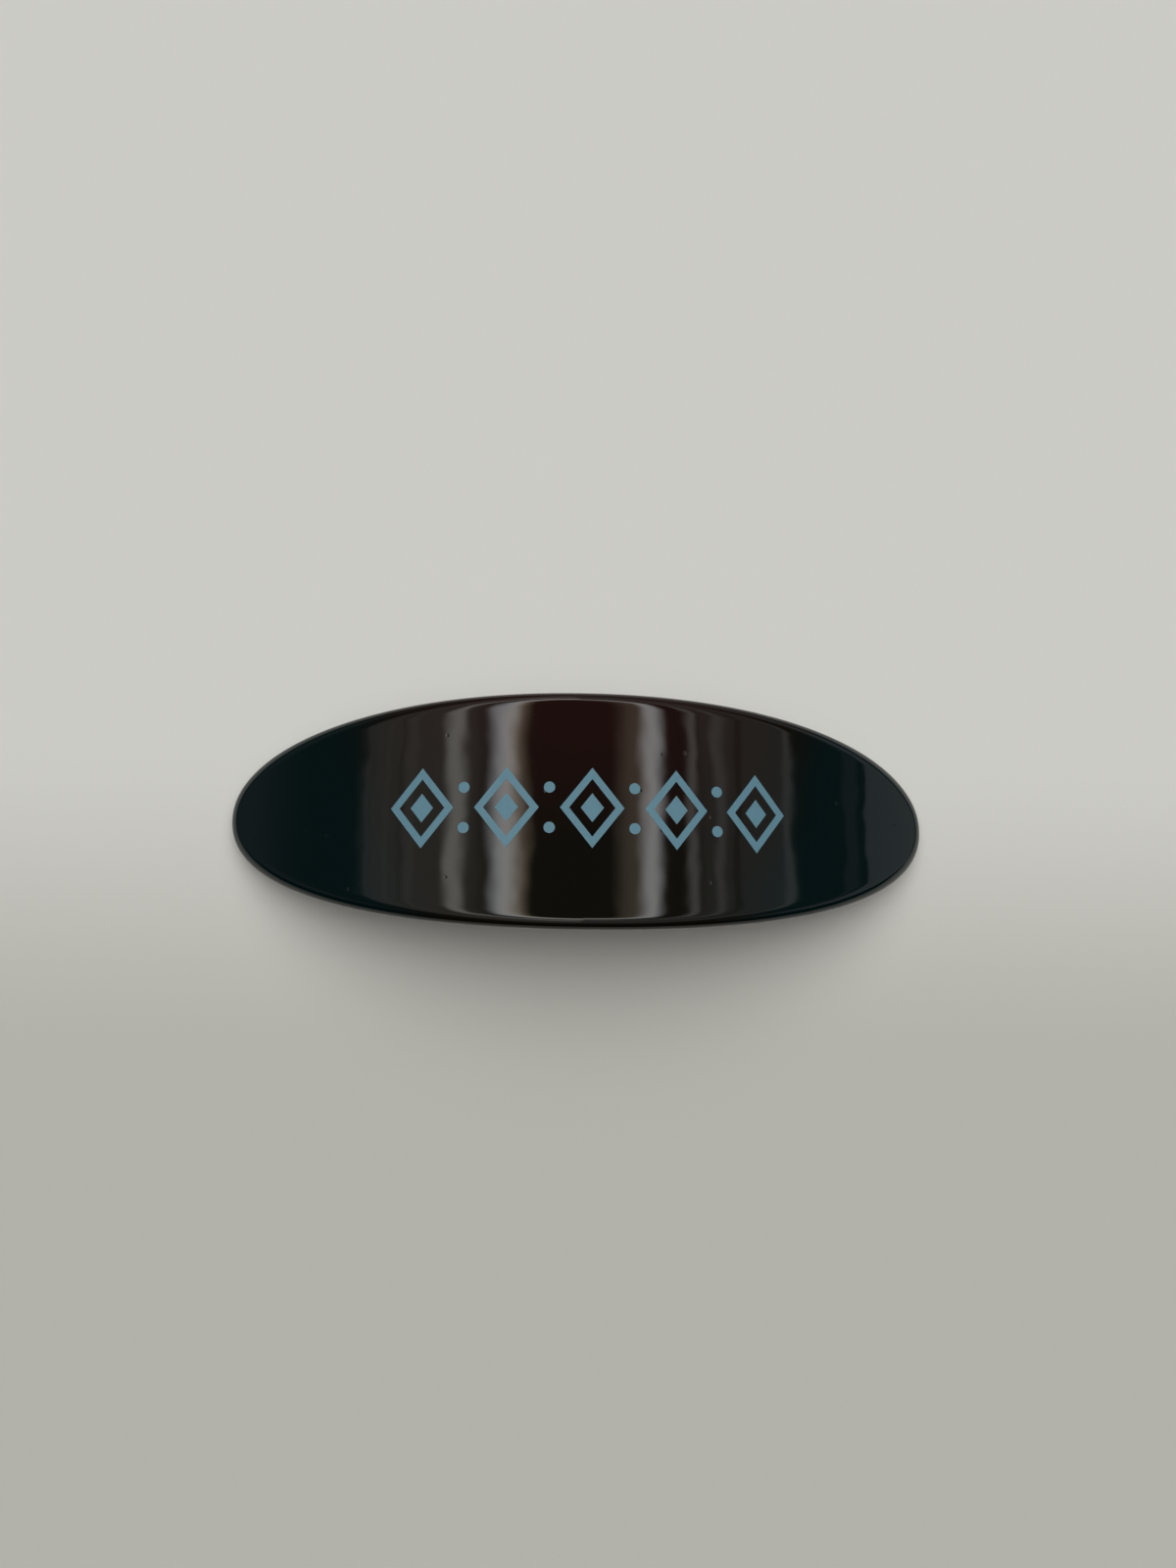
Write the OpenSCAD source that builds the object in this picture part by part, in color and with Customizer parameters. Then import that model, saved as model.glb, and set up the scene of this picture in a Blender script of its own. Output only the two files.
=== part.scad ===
// Arched oval barrette: an acetate cover carried on a French clasp.
// +X runs along the barrette to the hinge end of the clasp, +Y runs across it and +Z is up.
// The origin is below the middle, on the surface that the two tips of the cover rest on.

/* [Cover] */
// Straight length from tip to tip
cover_l = 100; // [84:1:120]
// Width across the middle
cover_w = 32; // [26:1:40]
// Thickness of the acetate sheet
cover_t = 2.8; // [2.4:0.1:3.6]
// Radius of the arch along the outer face
arch_r = 95; // [79:1:120]
// Squareness of the outline, where 2 is an ellipse
outline_n = 2.15; // [2:0.05:2.4]
// Radius tumbled onto the upper edge
top_roll_r = 1.3; // [0.6:0.1:1.4]
// Radius tumbled onto the lower edge
low_roll_r = 0.8; // [0.4:0.1:1]

/* [Printed motif] */
// Number of lozenges in the row
motif_count = 5; // [3:1:6]
// Distance from one lozenge to the next
motif_pitch = 11.4; // [10:0.1:13]
// Width of a lozenge along the cover
motif_w = 8.6; // [6:0.1:9.5]
// Height of a lozenge across the cover
motif_h = 10.8; // [8:0.1:13]
// Share of a lozenge that is cut out of its middle
motif_open = 0.72; // [0.5:0.01:0.8]
// Share of a lozenge that the small one inside it takes
motif_core = 0.36; // [0.2:0.01:0.42]
// Radius of the dots between the lozenges
motif_dot_r = 0.75; // [0.4:0.05:0.9]
// Thickness of the printed film
film_t = 0.05; // [0.03:0.01:0.1]

/* [Clasp base] */
// Width of the base strip
base_w = 8; // [7:0.1:10]
// Thickness of the base strip
base_t = 0.7; // [0.5:0.05:0.9]
// Distance from the middle to the rounded end by the latch
base_end_x = 33; // [32:0.5:36]
// Width of the pressed rib under the middle of the base
rib_w = 2.2; // [1.5:0.1:3]
// Length of the pressed rib
rib_l = 20; // [10:1:24]
// Depth of the pressed rib
rib_t = 0.35; // [0.2:0.05:0.5]

/* [Mounting pins] */
// Distance of each pin from the middle
mount_x = 16; // [13:0.5:20]
// Radius of the pin's shank
mount_r = 0.75; // [0.6:0.05:1]
// Depth that the shank is sunk into the acetate
mount_depth = 1.6; // [1.2:0.1:1.8]
// Height of the teeth round the shank
tooth_t = 0.1; // [0.05:0.05:0.15]
// Radius of the pin's head
mount_head_r = 1.4; // [1.2:0.1:1.8]
// Height of the pin's head
mount_head_t = 0.45; // [0.3:0.05:0.6]

/* [Hinge] */
// Distance from the middle to the hinge ears
hinge_x = 30; // [28:0.5:33]
// Drop from the base's underside to the hinge pin
hinge_drop = 3.9; // [3.2:0.1:4.6]
// Radius of the hinge pin
pin_r = 0.6; // [0.5:0.05:0.75]
// Radius of the peened heads of the hinge pin
pin_head_r = 1; // [0.9:0.05:1.2]
// Height of each peened head
pin_head_t = 0.45; // [0.3:0.05:0.6]
// Radius of the ears round the pin
ear_r = 1.7; // [1.5:0.1:2]
// Width of each ear where it leaves the base
ear_root = 6; // [4:0.5:7]

/* [Locking arm] */
// Thickness of the arm
arm_t = 0.7; // [0.5:0.05:0.85]
// Width of the arm between its ends
arm_w = 5; // [4:0.1:6]
// Radius of the arm's shallow arch
arm_r = 600; // [300:10:900]
// Length of the slot along the arm
arm_slot_l = 26; // [15:1:32]
// Width of the slot along the arm
arm_slot_w = 1.6; // [1:0.1:2.4]
// Width of the rails round the latch window
rail_w = 1.2; // [1:0.1:1.6]
// Room in the latch window past each end of a cheek
window_slack = 0.9; // [0.7:0.1:1.1]
// Length of the thumb lip past the latch window
lip_l = 3.6; // [2.5:0.1:5]

/* [Tension bar] */
// Thickness of the tension bar
bar_t = 0.4; // [0.3:0.05:0.5]
// Width of the tension bar
bar_w = 4; // [3:0.1:5]
// Width of the tension bar's eye on the hinge pin
bar_eye_w = 2.2; // [1.6:0.1:2.6]
// Radius of the tension bar's arch
bar_r = 98; // [90:1:110]

/* [Latch] */
// Distance from the middle to the latch
latch_x = 28; // [26.5:0.5:29.5]
// Drop from the base's underside to the arm in the latch
latch_drop = 5.1; // [4.8:0.1:5.6]
// Thickness of the latch's spring sheet
spring_t = 0.5; // [0.4:0.05:0.55]
// Length of each wing's cheek along the clasp
cheek_l = 3.4; // [2.8:0.1:3.8]
// Distance between the middles of the two cheeks
cheek_gap = 3.8; // [3.6:0.1:4.6]
// Reach of the catch on each cheek
catch_w = 0.37; // [0.25:0.01:0.45]
// Height of the catch's ramp
catch_h = 0.9; // [0.6:0.1:1.1]
// Thickness of the foot below the ramp
foot_t = 0.1; // [0.05:0.05:0.2]
// Height of the shelf that carries each finger pad, above the middle of the arm
shelf_z = 1.5; // [1.2:0.1:1.7]
// Distance from the middle of the clasp to the outside of each finger pad
pad_y = 6.8; // [5.6:0.1:8]
// Height of a finger pad
pad_h = 3.6; // [3:0.1:4]
// Length of a finger pad
pad_l = 5; // [4:0.1:6]
// Radius of the finger pad's corners
pad_corner_r = 1.2; // [0.6:0.1:1.4]
// Length of the bridge past the cheeks, away from the hinge
bridge_end_l = 0.8; // [0.5:0.1:1.2]
// Distance from the cheeks to the leg that carries the lip
leg_reach = 2.7; // [2.4:0.1:3]
// Drop from the base to the lip that the tension bar rests on
rest_drop = 3.1; // [2.8:0.1:3.3]
// Length of that lip past its leg
rest_l = 1.8; // [1.4:0.1:2.2]
// Radius of the tubular rivet
rivet_r = 0.85; // [0.7:0.05:0.95]
// Radius of the hole down the tubular rivet
rivet_bore_r = 0.5; // [0.35:0.05:0.55]
// Radius of the rivet's rolled head
rivet_head_r = 1.35; // [1.2:0.05:1.4]
// Height of the rivet's rolled head
rivet_head_t = 0.3; // [0.2:0.05:0.4]

/* [Clearances] */
// Gap between parts that are seated on each other
seat_gap = 0.03; // [0.02:0.01:0.05]
// Radial gap round a shank or rivet in its hole
fit_gap = 0.02; // [0.01:0.01:0.05]
// Gap past the end of a shank in its blind hole
blind_gap = 0.1; // [0.05:0.05:0.2]
// Radial gap round the hinge pin
run_gap = 0.05; // [0.03:0.01:0.1]
// Side gap between knuckles on the hinge pin
side_gap = 0.15; // [0.1:0.05:0.2]
// Gap between a catch and the window of the arm as it passes
catch_gap = 0.08; // [0.05:0.01:0.15]
// Gap between the arm and the catches below it
catch_rest = 0.15; // [0.1:0.05:0.25]
// Gap between the tension bar's free end and the leg beside it
tip_gap = 0.2; // [0.15:0.05:0.4]

/* [Hidden] */
$fn = 96;
LONG = 360; // facets of the long arches
REACH = 60; // taller and longer than anything that it cuts
STEPS = 72; // stretches along the outline from tip to tip
TURNS = 6; // steps round each tumbled edge
CUT = 1; // how far a cutter passes beyond what it cuts
JOIN = 0.01; // how far parts of one solid reach into each other

// Flat pattern of the cover, measured along its outer face before it is bent
half_l = cover_l / 2;
half_w = cover_w / 2;
half_arc = arch_r * asin((half_l - top_roll_r) / (arch_r - top_roll_r)) * PI / 180 + top_roll_r;

// Each point of the edge is how far in from the outline it lies, and how deep
roll = [for (k = [0:TURNS]) 90 * k / TURNS];
top_edge = [for (q = roll) [top_roll_r * (1 - sin(q)), top_roll_r * (1 - cos(q))]];
low_edge = [for (q = roll) [low_roll_r * (1 - cos(q)), cover_t - low_roll_r * (1 - sin(q))]];
edge = concat(top_edge, low_edge);

function power(v, e) = sign(v) * pow(abs(v), e);
function outline(q) = [half_arc * power(cos(q), 2 / outline_n), half_w * power(sin(q), 2 / outline_n)];
function slope(p) = [power(p[0] / half_arc, outline_n - 1) / half_arc,
                     power(p[1] / half_w, outline_n - 1) / half_w];
function inset(q, in) = outline(q) - in * slope(outline(q)) / norm(slope(outline(q)));
function arc_deg(s) = s / arch_r * 180 / PI;

// The arch is centred so that the lowest point of a tip is at z = 0
tip_low = min([for (e = edge) (arch_r - e[1]) * cos(arc_deg(half_arc - e[0]))]);
arch_cz = -tip_low;
function bend(p, depth) = [(arch_r - depth) * sin(arc_deg(p[0])), p[1],
                           arch_cz + (arch_r - depth) * cos(arc_deg(p[0]))];

// Radii of the pieces that are stacked under the cover
seat_r = arch_r - cover_t;
base_r = seat_r - seat_gap;
under_r = base_r - base_t;
function arch_at(deg, r) = [r * sin(deg), arch_cz + r * cos(deg)];

// Latch frame: u runs along the base towards the hinge, v runs square to the base
latch_deg = -asin(latch_x / under_r);
hinge_deg = asin(hinge_x / under_r);
mount_deg = asin(mount_x / under_r);
function latch_at(u, v) = arch_at(latch_deg, under_r + v) + u * [cos(latch_deg), -sin(latch_deg)];
pin_at = arch_at(hinge_deg, under_r - hinge_drop);
window_at = latch_at(0, -latch_drop);

// Centre of the arch that lies below both points, at its own distance from each
function below(p, rp, q, rq) =
    let (d = norm(q - p), n = (q - p) / d)
    let (a = (rp * rp - rq * rq + d * d) / (2 * d), h = sqrt(rp * rp - a * a))
    p + a * n + h * [-n[1], n[0]];
eye_r = pin_r + run_gap;
arm_at = below(pin_at, arm_r + eye_r + arm_t / 2, window_at, arm_r);
arm_deg = atan2(window_at[0] - arm_at[0], window_at[1] - arm_at[1]);

// Widths along the hinge pin, from the ears inwards
arm_hinge_w = base_w - 2 * base_t - 2 * side_gap;
arm_notch_w = bar_eye_w + 2 * side_gap;
notch_l = 2.6;
pin_l = base_w + 2 * seat_gap;

// Where each strip starts and ends its taper, as distances from the hinge pin
arm_neck = [3.5, 7];
bar_neck = [3.2, 5.5];

// Corners of the frame round the latch window and of the tension bar's free end
frame_r = 1;
frame_flare = 2;
window_r = 0.3;
tip_corner = 1;

// Latch: the bridge is held by the rivet, and each wing turns on a bead beside it
bead_r = spring_t / 2;
bead_v = -2 * run_gap - bead_r;
bridge_w = cheek_gap - spring_t - 2 * run_gap;
catch_out = cheek_gap / 2 + bead_r + catch_w;
window_w = 2 * (catch_out + catch_gap);
window_l = cheek_l + 2 * window_slack;
arm_end_w = window_w + 2 * rail_w;
catch_z = -arm_t / 2 - catch_rest;
foot_z = catch_z - catch_h - foot_t;

// Rest for the free end of the tension bar
leg_u = cheek_l / 2 + leg_reach;
lip_u = leg_u + spring_t;
bar_tip_u = lip_u + tip_gap;
bar_tip = latch_at(bar_tip_u, -rest_drop + seat_gap + bar_t / 2);
bar_at = below(pin_at, bar_r - eye_r - bar_t / 2, bar_tip, bar_r);
rest_r = bar_r - bar_t / 2 - seat_gap;

// A cylinder that lies along Y
module across(r, w) {
    rotate([90, 0, 0])
        cylinder(r = r, h = w, center = true);
}

// An arched strip about a centre in the XZ plane
module arched(at, r, t, w) {
    translate([at[0], 0, at[1]])
        difference() {
            across(r, w, $fn = LONG);
            across(r - t, w + CUT, $fn = LONG);
        }
}

// A plan shape carried upwards through everything
module tall() {
    translate([0, 0, -REACH / 4])
        linear_extrude(height = REACH)
            children();
}

// A side shape in the XZ plane carried across the clasp
module side(w) {
    rotate([90, 0, 0])
        linear_extrude(height = w, center = true)
            children();
}

module rounded(l, w, r) {
    square([l - 2 * r, w], center = true);
    square([l, w - 2 * r], center = true);
    for (x = [-1, 1], y = [-1, 1])
        translate([x * (l / 2 - r), y * (w / 2 - r)])
            circle(r = r);
}

module slot(l, w) {
    square([l - w, w], center = true);
    for (x = [-1, 1])
        translate([x * (l - w) / 2, 0])
            circle(d = w);
}

// Stands children on the arch, with +Z square to it and z = 0 at its centre
module on_arch(deg) {
    translate([0, 0, arch_cz])
        rotate([0, deg, 0])
            children();
}

module on_pin() {
    translate([pin_at[0], 0, pin_at[1]])
        children();
}

// The arm's own frame in the middle of its latch window
module on_window() {
    translate([window_at[0], 0, window_at[1]])
        rotate([0, arm_deg, 0])
            children();
}

// The bent sheet: rings of points round the outline, one ring for each point of the edge
module sheet() {
    rings = [for (e = edge) [for (k = [0:2 * STEPS - 1]) bend(inset(180 * k / STEPS, e[0]), e[1])]];
    n = 2 * STEPS;
    last = len(edge) - 1;
    walls = [for (i = [0:last - 1], k = [0:n - 1])
        [i * n + k, (i + 1) * n + k, (i + 1) * n + (k + 1) % n, i * n + (k + 1) % n]];
    tops = [for (k = [1:STEPS - 2]) [k, k + 1, n - k - 1, n - k]];
    ends = [[0, 1, n - 1], [STEPS - 1, STEPS, STEPS + 1]];
    lows = [for (f = concat(tops, ends)) [for (j = [len(f) - 1:-1:0]) f[j] + last * n]];
    polyhedron(points = [for (r = rings, p = r) p], faces = concat(walls, tops, ends, lows));
}

module mounting_holes(r, low, high) {
    for (deg = [-mount_deg, mount_deg])
        on_arch(deg)
            translate([0, 0, low])
                cylinder(r = r, h = high - low);
}

module cover_plate() {
    color("#1b1413")
        difference() {
            sheet();
            mounting_holes(mount_r + fit_gap, seat_r - CUT, seat_r + mount_depth + blind_gap);
        }
}

module lozenge(share) {
    polygon([[motif_w / 2, 0], [0, motif_h / 2], [-motif_w / 2, 0], [0, -motif_h / 2]] * share);
}

module printed_motif() {
    color("#66899a")
        intersection() {
            arched([0, arch_cz], arch_r + film_t, film_t, motif_h + CUT);
            tall() {
                for (k = [0:motif_count - 1])
                    translate([(k - (motif_count - 1) / 2) * motif_pitch, 0]) {
                        difference() {
                            lozenge(1);
                            lozenge(motif_open);
                        }
                        lozenge(motif_core);
                    }
                for (k = [1:motif_count - 1])
                    translate([(k - motif_count / 2) * motif_pitch, 0])
                        for (y = [-1, 1])
                            translate([0, y * motif_h / 4])
                                circle(r = motif_dot_r, $fn = 48);
            }
        }
}

module base_plan() {
    translate([-base_end_x + base_w / 2, -base_w / 2])
        square([base_end_x - base_w / 2 + hinge_x + ear_root / 2, base_w]);
    translate([-base_end_x + base_w / 2, 0])
        circle(d = base_w);
}

module ear_side() {
    intersection() {
        translate([0, arch_cz])
            circle(r = base_r - base_t / 2, $fn = LONG);
        union() {
            translate(pin_at)
                circle(r = ear_r);
            polygon([
                pin_at - [ear_r, 0],
                pin_at + [ear_r, 0],
                arch_at(hinge_deg, base_r) + [ear_root / 2, 0],
                arch_at(hinge_deg, base_r) - [ear_root / 2, 0]
            ]);
        }
    }
}

module clasp_base() {
    color("#b9b7b2")
        difference() {
            union() {
                intersection() {
                    arched([0, arch_cz], base_r, base_t, base_w);
                    tall() base_plan();
                }
                intersection() {
                    arched([0, arch_cz], under_r + JOIN, rib_t + JOIN, rib_w);
                    tall() slot(rib_l, rib_w);
                }
                for (y = [-1, 1])
                    translate([0, y * (base_w - base_t) / 2, 0])
                        side(base_t) ear_side();
            }
            mounting_holes(mount_r + fit_gap, under_r - CUT, base_r + CUT);
            on_arch(latch_deg)
                translate([0, 0, under_r - CUT])
                    cylinder(r = rivet_r + fit_gap, h = base_t + 2 * CUT);
            on_arch(latch_deg)
                translate([0, 0, base_r - base_t / 2])
                    cylinder(r1 = rivet_r + fit_gap, r2 = rivet_head_r + fit_gap, h = base_t / 2 + JOIN);
            on_pin() across(pin_r + fit_gap, base_w + CUT);
        }
}

// Domed head under the base, and a ribbed shank that grips the acetate
module mounting_pin(deg) {
    rib_h = mount_depth / 4;
    waist_r = mount_r - tooth_t;
    teeth = [for (k = [0:3]) each [
        [waist_r, seat_r + k * rib_h],
        [mount_r, seat_r + (k + 0.3) * rib_h],
        [mount_r, seat_r + (k + 0.7) * rib_h],
        [waist_r, seat_r + (k + 1) * rib_h]
    ]];
    head_top = under_r - seat_gap;
    color("#c7a765")
        on_arch(deg)
            rotate_extrude()
                polygon(concat(
                    [[0, head_top - mount_head_t], [mount_head_r * 0.6, head_top - mount_head_t]],
                    [[mount_head_r, head_top - mount_head_t * 0.4], [mount_head_r, head_top]],
                    [[mount_r, head_top], [mount_r, base_r]],
                    teeth,
                    [[0, seat_r + mount_depth]]
                ));
}

// Plain shaft with a peened head outside each ear
module hinge_pin() {
    end = pin_l / 2 + pin_head_t;
    flat_r = pin_head_r * 0.6;
    flat_t = pin_head_t * 0.6;
    color("#a9a7a3")
        on_pin()
            rotate([90, 0, 0])
                rotate_extrude()
                    polygon([
                        [0, -end],
                        [flat_r, -end],
                        [pin_head_r, -end + flat_t],
                        [pin_head_r, -pin_l / 2],
                        [pin_r, -pin_l / 2],
                        [pin_r, pin_l / 2],
                        [pin_head_r, pin_l / 2],
                        [pin_head_r, end - flat_t],
                        [flat_r, end],
                        [0, end]
                    ]);
}

module arm_plan() {
    hinge_half = arm_hinge_w / 2;
    frame_half = window_l / 2 + rail_w;
    frame_at = window_at[0] + frame_half;
    difference() {
        union() {
            polygon([
                [pin_at[0], hinge_half],
                [pin_at[0] - arm_neck[0], hinge_half],
                [pin_at[0] - arm_neck[1], arm_w / 2],
                [frame_at + frame_flare, arm_w / 2],
                [frame_at, arm_end_w / 2 - frame_r / 2],
                [frame_at, -arm_end_w / 2 + frame_r / 2],
                [frame_at + frame_flare, -arm_w / 2],
                [pin_at[0] - arm_neck[1], -arm_w / 2],
                [pin_at[0] - arm_neck[0], -hinge_half],
                [pin_at[0], -hinge_half]
            ]);
            translate([window_at[0], 0])
                rounded(2 * frame_half, arm_end_w, frame_r);
            translate([window_at[0] - frame_half, 0])
                slot(2 * lip_l, arm_w);
        }
        translate([window_at[0], 0])
            rounded(window_l, window_w, window_r);
        translate([(pin_at[0] + window_at[0]) / 2, 0])
            slot(arm_slot_l, arm_slot_w);
        translate([pin_at[0] - notch_l, -arm_notch_w / 2])
            square([2 * notch_l, arm_notch_w]);
    }
}

module locking_arm() {
    knuckle_w = (arm_hinge_w - arm_notch_w) / 2;
    color("#bdbbb6")
        difference() {
            union() {
                intersection() {
                    arched(arm_at, arm_r + arm_t / 2, arm_t, arm_end_w + CUT);
                    tall() arm_plan();
                }
                for (y = [-1, 1])
                    on_pin()
                        translate([0, y * (arm_notch_w + knuckle_w) / 2, 0])
                            across(eye_r + arm_t, knuckle_w);
            }
            on_pin() across(eye_r, base_w + CUT);
        }
}

module bar_plan() {
    half_bar = bar_w / 2;
    polygon([
        [pin_at[0], bar_eye_w / 2],
        [pin_at[0] - bar_neck[0], bar_eye_w / 2],
        [pin_at[0] - bar_neck[1], half_bar],
        [bar_tip[0] + tip_corner, half_bar],
        [bar_tip[0], half_bar - tip_corner],
        [bar_tip[0], -half_bar + tip_corner],
        [bar_tip[0] + tip_corner, -half_bar],
        [pin_at[0] - bar_neck[1], -half_bar],
        [pin_at[0] - bar_neck[0], -bar_eye_w / 2],
        [pin_at[0], -bar_eye_w / 2]
    ]);
}

module tension_bar() {
    color("#a5a8ab")
        difference() {
            union() {
                intersection() {
                    arched(bar_at, bar_r + bar_t / 2, bar_t, bar_w + CUT);
                    tall() bar_plan();
                }
                on_pin() across(eye_r + bar_t, bar_eye_w);
            }
            on_pin() across(eye_r, base_w);
        }
}

// Plate and leg of the bridge, then the lip that follows the underside of the tension bar
module bridge_side() {
    top = -seat_gap;
    intersection() {
        translate([0, arch_cz])
            circle(r = under_r + top, $fn = LONG);
        polygon([
            latch_at(-cheek_l / 2 - bridge_end_l, top + CUT),
            latch_at(-cheek_l / 2 - bridge_end_l, top - spring_t),
            latch_at(leg_u, top - spring_t),
            latch_at(leg_u, -rest_drop - spring_t / 2),
            latch_at(lip_u, -rest_drop - spring_t / 2),
            latch_at(lip_u, top + CUT)
        ]);
    }
    intersection() {
        translate(bar_at)
            difference() {
                circle(r = rest_r, $fn = LONG);
                circle(r = rest_r - spring_t, $fn = LONG);
            }
        polygon([
            latch_at(leg_u, -rest_drop / 2),
            latch_at(leg_u, -2 * rest_drop),
            latch_at(lip_u + rest_l, -2 * rest_drop),
            latch_at(lip_u + rest_l, -rest_drop / 2)
        ]);
    }
}

module latch_bridge() {
    color("#b3b1ad")
        difference() {
            side(bridge_w) bridge_side();
            on_arch(latch_deg)
                translate([0, 0, under_r - 2 * spring_t])
                    cylinder(r = rivet_r + fit_gap, h = 3 * spring_t);
        }
}

// Tube with a rolled head under the bridge and a flush head sunk into the base
module latch_rivet() {
    head_top = under_r - spring_t - 2 * seat_gap;
    head_low = head_top - rivet_head_t;
    color("#a9a7a3")
        on_arch(latch_deg)
            rotate_extrude()
                polygon([
                    [rivet_bore_r, head_low],
                    [rivet_head_r - rivet_head_t / 2, head_low],
                    [rivet_head_r, head_low + rivet_head_t / 2],
                    [rivet_head_r, head_top],
                    [rivet_r, head_top],
                    [rivet_r, base_r - base_t / 2],
                    [rivet_head_r - 2 * seat_gap, base_r - seat_gap],
                    [rivet_bore_r, base_r - seat_gap]
                ]);
}

// One spring wing for y > 0: bead, cheek through the arm's window, catch, shelf and finger pad
module wing() {
    cheek_y = cheek_gap / 2;
    foot = [for (x = [cheek_l / 2, -cheek_l / 2])
        window_at + [x * cos(arm_deg) + foot_z * sin(arm_deg), foot_z * cos(arm_deg) - x * sin(arm_deg)]];
    shelf_w = pad_y - spring_t / 2 - cheek_y;
    translate([latch_at(-cheek_l / 2, bead_v)[0], cheek_y, latch_at(-cheek_l / 2, bead_v)[1]])
        rotate([0, 90 + latch_deg, 0])
            cylinder(r = bead_r, h = cheek_l);
    translate([0, cheek_y, 0])
        side(spring_t)
            polygon([latch_at(-cheek_l / 2, bead_v), latch_at(cheek_l / 2, bead_v), foot[0], foot[1]]);
    on_window()
        translate([-cheek_l / 2, cheek_y, 0])
            rotate([90, 0, 90])
                linear_extrude(height = cheek_l)
                    polygon([
                        [0, catch_z],
                        [bead_r + catch_w, catch_z],
                        [bead_r, catch_z - catch_h],
                        [0, catch_z - catch_h]
                    ]);
    on_window()
        translate([-cheek_l / 2, cheek_y, shelf_z])
            cube([cheek_l, shelf_w, spring_t]);
    on_window()
        translate([0, pad_y - spring_t / 2, shelf_z + spring_t / 2])
            side(spring_t) rounded(pad_l, pad_h, pad_corner_r);
}

module latch_wing_back() {
    color("#c2c0bb")
        wing();
}

module latch_wing_front() {
    color("#c2c0bb")
        mirror([0, 1, 0]) wing();
}

cover_plate();
printed_motif();
clasp_base();
mounting_pin(-mount_deg);  // mounting_pin_left
mounting_pin(mount_deg);  // mounting_pin_right
hinge_pin();
locking_arm();
tension_bar();
latch_bridge();
latch_rivet();
latch_wing_front();
latch_wing_back();
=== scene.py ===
from math import asin, pi, radians

import bmesh
import bpy
from mathutils import Matrix, Vector


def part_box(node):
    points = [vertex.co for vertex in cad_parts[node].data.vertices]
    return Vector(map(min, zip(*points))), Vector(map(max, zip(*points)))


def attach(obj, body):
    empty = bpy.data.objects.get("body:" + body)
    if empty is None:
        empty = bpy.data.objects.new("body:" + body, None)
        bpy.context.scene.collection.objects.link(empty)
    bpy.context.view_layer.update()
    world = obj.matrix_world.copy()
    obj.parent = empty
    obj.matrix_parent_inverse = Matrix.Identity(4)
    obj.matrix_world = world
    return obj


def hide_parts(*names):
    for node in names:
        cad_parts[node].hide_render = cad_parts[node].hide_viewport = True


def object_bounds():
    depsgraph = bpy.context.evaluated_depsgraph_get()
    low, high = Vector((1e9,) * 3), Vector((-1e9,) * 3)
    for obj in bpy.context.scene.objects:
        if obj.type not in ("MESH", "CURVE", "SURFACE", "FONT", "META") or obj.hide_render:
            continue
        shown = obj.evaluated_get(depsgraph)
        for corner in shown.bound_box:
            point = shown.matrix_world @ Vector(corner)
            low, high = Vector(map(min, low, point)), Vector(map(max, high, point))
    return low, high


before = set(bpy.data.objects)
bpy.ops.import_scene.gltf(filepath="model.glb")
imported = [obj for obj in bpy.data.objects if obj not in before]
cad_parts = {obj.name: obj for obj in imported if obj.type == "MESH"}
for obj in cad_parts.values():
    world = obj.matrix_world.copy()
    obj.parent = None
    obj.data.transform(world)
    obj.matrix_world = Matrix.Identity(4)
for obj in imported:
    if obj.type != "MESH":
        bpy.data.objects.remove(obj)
cadLow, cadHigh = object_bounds()
mm = 0.001
print("frame loaded")


# sRGB hex to the linear colour that sockets take
def linear(hexColour):
    parts = [int(hexColour[i : i + 2], 16) / 255 for i in (1, 3, 5)]
    return [p / 12.92 if p <= 0.04045 else ((p + 0.055) / 1.055) ** 2.4 for p in parts] + [1.0]


# Adds a node. Words in lower case are its settings.
# Plain values, and words with a capital, are its inputs.
def addNode(tree, kind, *values, **words):
    node = tree.nodes.new(kind)
    for name in [w for w in words if w[0].islower()]:
        setattr(node, name, words.pop(name))
    free = [s for s in node.inputs if s.enabled]
    pairs = list(zip(free, values))
    pairs += [(next(s for s in free if s.name == w.replace("_", " ")), v) for w, v in words.items()]
    for socket, value in pairs:
        if isinstance(value, bpy.types.Node):
            value = next(s for s in value.outputs if s.enabled)
        if isinstance(value, bpy.types.NodeSocket):
            tree.links.new(value, socket)
        elif value is not None:
            socket.default_value = value
    return node


def startMaterial(name):
    material = bpy.data.materials.new(name)
    material.use_nodes = True
    tree = material.node_tree
    return material, tree, tree.nodes["Principled BSDF"]


camera = {
    "distance": 156.1 * mm,  # from the aim point, about as near as a phone focuses
    "tilt": 11.05,  # degrees towards the near side
    "lean": -4.54,  # degrees towards the latch end
    "roll": -1.11,
    "aim": (-0.64 * mm, 3.07 * mm, 0.55 * mm),  # from the top of the arch
    "lens": 27.05,  # on a 36 mm wide sensor
    "nearest": 5 * mm,  # that it sees
}


def makeCamera():
    data = bpy.data.cameras.new("camera")
    data.lens = camera["lens"]
    data.clip_start = camera["nearest"]
    turn = Matrix.Identity(3)
    for angle, axis in [(camera["tilt"], "X"), (camera["lean"], "Y"), (-camera["roll"], "Z")]:
        turn = turn @ Matrix.Rotation(radians(angle), 3, axis)
    aim = Vector(camera["aim"]) + Vector((0, 0, cadHigh[2]))
    item = bpy.data.objects.new("camera", data)
    place = aim + turn @ Vector((0, 0, camera["distance"]))
    item.matrix_world = Matrix.Translation(place) @ turn.to_4x4()
    bpy.context.collection.objects.link(item)
    bpy.context.scene.camera = item


makeCamera()
print("camera made")

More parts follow.
